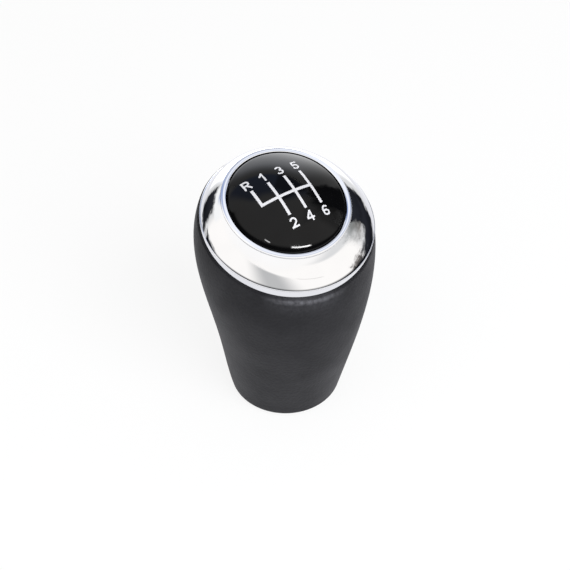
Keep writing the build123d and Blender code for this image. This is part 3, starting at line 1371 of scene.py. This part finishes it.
@dataclass
class ThreadInsert(LoftedPiece):
    """Blind turned insert with a cut thread, a countersunk mouth and a groove round its waist."""

    title: str = "thread_insert_turned"
    slot: str = "insert_metal"
    node: str = "thread_insert"
    segments: int = 72
    bottom: float = 1.6
    radius: float = 6.6
    depth: float = 24.0
    end_wall: float = 2.5
    groove_depth: float = 0.7
    groove_height: float = 4.0
    thread_radius: float = 5.0
    minor_radius: float = 4.3234
    pitch: float = 1.25
    mouth_radius: float = 5.4
    point_angle: float = 118.0
    rings_a_turn: int = 12

    def rings(self) -> RingStack:
        """Lists the rings from the drilled point down the bore, round the mouth and up the outside.

        Returns:
            The stack of rings.
        """
        point = self.minor_radius / math.tan(math.radians(self.point_angle / 2))
        deep = self.bottom + self.depth
        shoulder = deep - point
        mouth = self.bottom + self.mouth_radius - self.minor_radius
        top = deep + self.end_wall
        waist = self.radius - self.groove_depth
        groove = (self.bottom + top - self.groove_height) / 2
        stack = RingStack(closed=False)
        stack.turn([(0.0, deep), (self.minor_radius, shoulder)])
        thread_top = shoulder - self.pitch
        count = int((thread_top - mouth) / self.pitch * self.rings_a_turn)
        for height in np.linspace(thread_top, mouth, count):
            stack.turn([(self.minor_radius, height)], cut=min(1.0, (thread_top - height) / self.pitch))
        stack.turn([(self.mouth_radius, self.bottom), (self.radius, self.bottom), (self.radius, groove)])
        stack.turn([(waist, groove), (waist, groove + self.groove_height)])
        stack.turn([(self.radius, groove + self.groove_height), (self.radius, top), (0.0, top)])
        return stack

    def details(self, guide: Thing, material: Material) -> list[Mesh]:
        """Cuts the thread into the bore.

        Args:
            guide: Guide of the insert.
            material: Material of the insert.

        Returns:
            Nothing to join.
        """
        depth = self.thread_radius - self.minor_radius
        self.trees.cutter.put_on(guide, {"Pitch": self.pitch, "Depth": depth, "Material": material})
        return []


@dataclass
class MouldedCore:
    """Hard body inside the skin, whose solid is shown as it is."""

    node: str = "core"

    def build(self, finish: Finish) -> None:
        """Dresses the solid.

        Args:
            finish: Finish of the core.
        """
        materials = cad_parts[self.node].data.materials
        materials.clear()
        materials.append(finish.material())
        LOG.info("%s: dressed", self.node)


@dataclass
class Panel:
    """Soft-edged panel round the head, seen only in what is glossy, bright for some pieces or for all.

    Its soft edges are left, right, bottom and top, as shares of its width and height. It slopes, arches and
    leans by so many degrees, and its edges are torn by a share of its size.
    """

    title: str
    azimuths: Point
    elevations: Point
    low: Tone
    high: Tone
    strength: float = 1.0
    soft: tuple[float, float, float, float] = (0.15, 0.15, 0.15, 0.15)
    slope: float = 0.0
    arch: float = 0.0
    lean: float = 0.0
    opacity: float = 1.0
    ragged: float = 0.0
    distance: float = 600.0
    bright_for: tuple[Thing, ...] = ()
    middle: float = 66.0
    across: int = 36
    down: int = 12
    tear_scale: float = 7.0
    tear_detail: float = 3.0
    least_soft: float = 0.001

    def material(self) -> Material:
        """Makes a glow that fades towards the panel's edges.

        Returns:
            The material.
        """
        material = bpy.data.materials.new(self.title)
        graph = Graph(bare_tree(material))
        sheet = graph.add("ShaderNodeTexCoord").outputs["UV"]
        feeds = {"Vector": sheet, "Scale": self.tear_scale, "Detail": self.tear_detail}
        torn = graph.add("ShaderNodeTexNoise", feeds).outputs["Color"]
        torn = graph.vector("SUBTRACT", torn, (0.5, 0.5, 0.5))
        torn = graph.vector("MULTIPLY", torn, (self.ragged, self.ragged, self.ragged))
        axes = graph.add("ShaderNodeSeparateXYZ", {0: graph.vector("ADD", sheet, torn)}).outputs
        left, right, bottom, top = (max(width, self.least_soft) for width in self.soft)
        fades = []
        for axis, first, last in ((axes["X"], left, right), (axes["Y"], bottom, top)):
            fades.append(graph.remap(axis, (0.0, first), smooth=True))
            fades.append(graph.remap(axis, (1.0 - last, 1.0), (1.0, 0.0), True))
        colour = graph.shade(axes["Y"], self.low.value, self.high.value)
        glow = graph.out("ShaderNodeEmission", {"Color": colour, "Strength": self.strength})
        clear = graph.out("ShaderNodeBsdfTransparent")
        graph.end_in_mix(graph.product(*fades, self.opacity), clear, glow)
        return material

    def build(self) -> None:
        """Makes the panel as a piece of a ball round the head."""
        wide = self.across + 1
        places = [(c / self.across, r / self.down) for r in range(self.down + 1) for c in range(wide)]
        spots = []
        for right, up in places:
            side, level = right - 0.5, up - 0.5
            turn = np.interp(right, (0, 1), self.azimuths) + self.lean * level
            bend = self.slope * side + self.arch * (1 - 4 * side**2)
            rise = np.interp(up, (0, 1), self.elevations) + bend
            spots.append((direction(turn, rise) * self.distance + Vector((0, 0, self.middle))) * MM)
        firsts = [row * wide + column for row in range(self.down) for column in range(self.across)]
        mesh = bpy.data.meshes.new(self.title)
        mesh.from_pydata(spots, [], [(k, k + 1, k + wide + 1, k + wide) for k in firsts])
        sheet = mesh.uv_layers.new(name="sheet")
        for loop in mesh.loops:
            sheet.data[loop.index].uv = places[loop.vertex_index]
        mesh.materials.append(self.material())
        panel = add_object(self.title, mesh)
        show_only(panel, Rays.MIRROR)
        if self.bright_for:
            chosen = bpy.data.collections.new(self.title)
            for piece in self.bright_for:
                chosen.objects.link(piece)
            panel.light_linking.receiver_collection = chosen


@dataclass
class SoftLight:
    """Large soft lamp that looks at the knob, with its own sizes in metres."""

    title: str
    azimuth: float
    elevation: float
    power: float
    colour: Triple
    size: float = 0.7
    distance: float = 1.0
    middle: float = 0.04

    def build(self) -> None:
        """Makes the lamp."""
        light = bpy.data.lights.new(self.title, "AREA")
        light.energy = self.power
        light.size = self.size
        light.color = self.colour
        way = direction(self.azimuth, self.elevation)
        lamp = add_object(self.title, light)
        lamp.location = way * self.distance + Vector((0, 0, self.middle))
        lamp.rotation_euler = way.to_track_quat("Z", "Y").to_euler()
        show_only(lamp, Rays.LIGHT)


@dataclass
class Studio:
    """White floor and surround, soft lamps, panels for the bright pieces to mirror, and the camera.

    The floor's sizes are metres. The camera is given by its angles, its distance and what it aims at.
    """

    ring: Thing
    cap: Thing
    surround: float = 0.45
    floor_half: float = 3.0
    floor_drop: float = 0.0003
    floor_glow: float = 0.84
    floor_matt: Triple = (0.97, 0.97, 0.97)
    floor_tone: Triple = (1.1, 1.1, 1.15)
    azimuth: float = -33.0
    elevation: float = 43.95
    distance: float = 380.0
    aim: Triple = (0.0, 0.0, 38.0)
    aim_right: float = -0.17
    aim_up: float = -0.24
    focal_pixels: float = 1349.3
    picture_pixels: float = 570.0
    sensor_width: float = 36.0
    clip_start: float = 0.01

    @staticmethod
    def seen(graph: Graph) -> Socket:
        """Tells whether a ray comes from the camera or by way of something glossy or clear.

        Args:
            graph: Graph of the floor or of the surround.

        Returns:
            One where it does, and nought elsewhere.
        """
        path = graph.add("ShaderNodeLightPath").outputs
        glossy = graph.math("MAXIMUM", path["Is Glossy Ray"], path["Is Transmission Ray"])
        return graph.math("MAXIMUM", path["Is Camera Ray"], glossy)

    def build_world(self) -> None:
        """Makes the surround: white where it is seen, softer where it lights."""
        world = bpy.data.worlds.new("surround")
        graph = Graph(bare_tree(world))
        level = graph.remap(self.seen(graph), (0.0, 1.0), (self.surround, 1.0))
        back = graph.out("ShaderNodeBackground", {"Color": (*Tone.WHITE.value, 1.0), "Strength": level})
        graph.add("ShaderNodeOutputWorld", {"Surface": back})
        bpy.context.scene.world = world

    def build_floor(self) -> None:
        """Makes the floor: white where it is seen, with the knob's own faint shadow on it."""
        material = bpy.data.materials.new("studio_floor")
        graph = Graph(bare_tree(material))
        matt = graph.out("ShaderNodeBsdfDiffuse", {"Color": (*self.floor_matt, 1.0)})
        mirrored = graph.add("ShaderNodeLightPath").outputs["Is Glossy Ray"]
        tone = graph.shade(mirrored, Tone.WHITE.value, self.floor_tone)
        glow = graph.out("ShaderNodeEmission", {"Color": tone})
        graph.end_in_mix(graph.product(self.seen(graph), self.floor_glow), matt, glow)
        half, level = self.floor_half, -self.floor_drop
        corners = [(-half, -half, level), (half, -half, level), (half, half, level), (-half, half, level)]
        mesh = bpy.data.meshes.new("studio_floor")
        mesh.from_pydata(corners, [], [(0, 1, 2, 3)])
        mesh.materials.append(material)
        add_object("studio_floor", mesh)

    def build_camera(self) -> None:
        """Makes the camera from the view that the photograph was taken from."""
        back = direction(self.azimuth, self.elevation)
        right = direction(self.azimuth + 90.0, 0.0)
        upward = back.cross(right)
        spot = Vector(self.aim) + right * self.aim_right + upward * self.aim_up + back * self.distance
        lens = bpy.data.cameras.new("camera")
        lens.sensor_width = self.sensor_width
        lens.lens = self.sensor_width * self.focal_pixels / self.picture_pixels
        lens.clip_start = self.clip_start
        camera = add_object("camera", lens)
        turn = back.to_track_quat("Z", "Y").to_matrix().to_4x4()
        camera.matrix_world = Matrix.Translation(spot * MM) @ turn
        bpy.context.scene.camera = camera

    def lamps(self) -> list[SoftLight]:
        """Lists the lamps.

        Returns:
            A warm key lamp and a cool fill lamp.
        """
        return [
            SoftLight("key_lamp", -74.0, 48.0, 2.2, (1.0, 0.985, 0.965)),
            SoftLight("fill_lamp", 5.0, 40.0, 9.0, (0.965, 0.98, 1.0)),
        ]

    def panels(self) -> list[Panel]:
        """Lists the panels: large bright boxes, dark flags between them, and small glows.

        Returns:
            The panels.
        """
        ring, cap = (self.ring,), (self.cap,)
        white, cream, blue, slate, grey, taupe, dusk, dark = Tone
        even = (0.1, 0.1, 0.15, 0.15)
        return [
            Panel("zenith_box", (-180, 180), (54, 90), cream, white, 1.36, (0.0, 0.0, 0.25, 0.0),
                  distance=592),
            Panel("upper_box", (-142, 75), (34, 62), cream, cream, 1.38, even, -40, 18, distance=595),
            Panel("left_box", (-138, -36), (4, 80), cream, cream, 1.38, (0.1, 0.28, 0.15, 0.15),
                  bright_for=ring),
            Panel("middle_box", (-70, 8), (4, 60), white, white, 0.7, even, distance=605, bright_for=ring),
            Panel("right_box", (-26, 70), (4, 60), cream, cream, 1.38, (0.28, 0.1, 0.15, 0.15), -26,
                  bright_for=ring),
            Panel("low_flag", (-132, 92), (-15, 0), dark, dark, 1.0, (0.06, 0.06, 0.1, 0.25), arch=30,
                  distance=590),
            Panel("left_flag", (-168, -136), (-10, 40), dark, dusk, 1.0, (0.2, 0.2, 0.15, 0.2), lean=-4,
                  ragged=0.4, distance=590),
            Panel("left_low_flag", (-136, -100), (-8, 13), dark, dark, 1.0, (0.2, 0.3, 0.1, 0.35),
                  ragged=0.7, distance=588),
            Panel("left_glow", (-172, -124), (36, 64), white, white, 1.3, distance=598),
            Panel("right_flag", (78, 106), (0, 52), dark, dusk, ragged=0.35, distance=589),
            Panel("right_blur", (62, 92), (20, 54), taupe, grey, 1.0, (0.6, 0.15, 0.3, 0.25),
                  ragged=0.5, distance=590),
            Panel("right_patch", (44, 64), (4, 27), dusk, taupe, 1.0, (0.3, 0.3, 0.1, 0.4),
                  ragged=0.7, distance=591),
            Panel("right_low_flag", (58, 100), (-6, 24), dark, dusk, 1.0, (0.25, 0.1, 0.2, 0.3),
                  ragged=0.5, distance=588),
            Panel("roof_glow", (84, 216), (46, 78), blue, blue, 1.0, (0.15, 0.15, 0.15, 0.3), distance=590),
            Panel("roof_veil", (96, 122), (46, 82), white, white, 1.65, (0.3, 0.3, 0.1, 0.2), opacity=0.65,
                  distance=585, bright_for=ring),
            Panel("roof_haze", (114, 142), (46, 69), white, white, 0.9, (0.2, 0.2, 0.1, 0.2), opacity=0.65,
                  distance=586, bright_for=ring),
            Panel("window_glow", (108, 192), (-6, 47), white, slate, 7.0, (0.35, 0.25, 0.15, 0.3)),
            Panel("strip_glow", (-3, 25), (42.0, 43.5), white, white, 450.0, slope=-9, opacity=0.2,
                  distance=580, bright_for=cap),
            Panel("spot_glow", (-43, -32), (56.1, 57.4), white, white, 400.0, slope=-3, opacity=0.1,
                  distance=580, bright_for=cap),
        ]

    def build(self) -> None:
        """Makes all of the studio."""
        bpy.context.scene.view_settings.view_transform = "Standard"
        self.build_world()
        self.build_floor()
        self.build_camera()
        for item in (*self.lamps(), *self.panels()):
            item.build()


def main() -> None:
    """Builds the knob piece by piece, and the studio round it."""
    logging.basicConfig(level=logging.INFO, format="%(name)s: %(message)s")
    head, trees = Head(), Trees()
    cap = ShiftCap(head, trees)
    GripSkin(head, trees).build(SkinFinish(head=head))
    ring_piece = TrimRing(head, trees).build(PlatedFinish())
    cap_piece = cap.build(GlossFinish())
    GatePrint(cap).build(PrintFinish())
    ThreadInsert(head, trees).build(BrassFinish())
    MouldedCore().build(MouldedFinish())
    Studio(ring_piece, cap_piece).build()


if __name__ == "__main__":
    main()
